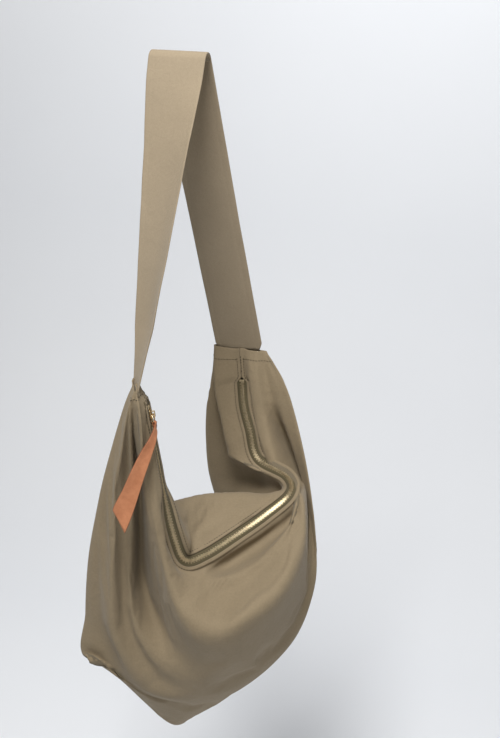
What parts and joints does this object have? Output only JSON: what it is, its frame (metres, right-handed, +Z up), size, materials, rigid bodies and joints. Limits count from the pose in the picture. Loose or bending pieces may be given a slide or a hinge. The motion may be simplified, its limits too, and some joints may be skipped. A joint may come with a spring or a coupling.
{
  "type": "hobo bag",
  "caption": "Slouchy fabric hobo bag with a wide shoulder strap, one long curved zipper along the mouth, a ring slider and a leather pull strip.",
  "frame": {"origin": "on the axis of the rail that carries the strap, at the strap's mid-width", "axes": "+X along the rail, -Y towards the near end of the bag where the zipper starts, +Z up"},
  "size_m": [0.3315, 0.393, 1.0025],
  "materials": {
    "shell_fabric": "khaki cotton-nylon twill, matt with a faint sheen",
    "lining_fabric": "thin plain-woven lining",
    "zipper_tape": "woven olive zipper tape",
    "brass_teeth": "polished brass",
    "gold_hardware": "pale gold plate, polished",
    "tan_leather": "tan leather, slightly waxy, raw edges"
  },
  "bodies": {
    "bag": {"panel_front": "shell_fabric", "panel_rear": "shell_fabric", "shoulder_strap": "shell_fabric", "lining_front": "lining_fabric", "lining_rear": "lining_fabric", "zipper_tape_front": "zipper_tape", "zipper_tape_rear": "zipper_tape", "zipper_teeth_front": "brass_teeth", "zipper_teeth_rear": "brass_teeth", "top_stop_front": "brass_teeth", "top_stop_rear": "brass_teeth", "bottom_stop": "brass_teeth"},
    "slider": {"slider_body": "gold_hardware", "slider_bridge": "gold_hardware"},
    "pull_ring": {"pull_ring": "gold_hardware"},
    "leather_pull": {"leather_pull": "tan_leather"}
  },
  "joints": [
    {"name": "slider_travel", "type": "slide", "parent": "bag", "child": "slider", "axis": [0.181, 0.022, -0.9832], "range_m": [0, 0.105]},
    {"name": "ring_swing", "type": "hinge", "parent": "slider", "child": "pull_ring", "pos_m": [0.02393, -0.1478, -0.41592], "axis": [0.1935, -0.981, 0.0137], "range_deg": [0, 90]},
    {"name": "leather_swing", "type": "hinge", "parent": "pull_ring", "child": "leather_pull", "pos_m": [0.02593, -0.14756, -0.42673], "axis": [0.1935, -0.981, 0.0137], "range_deg": [0, 60]}
  ]
}
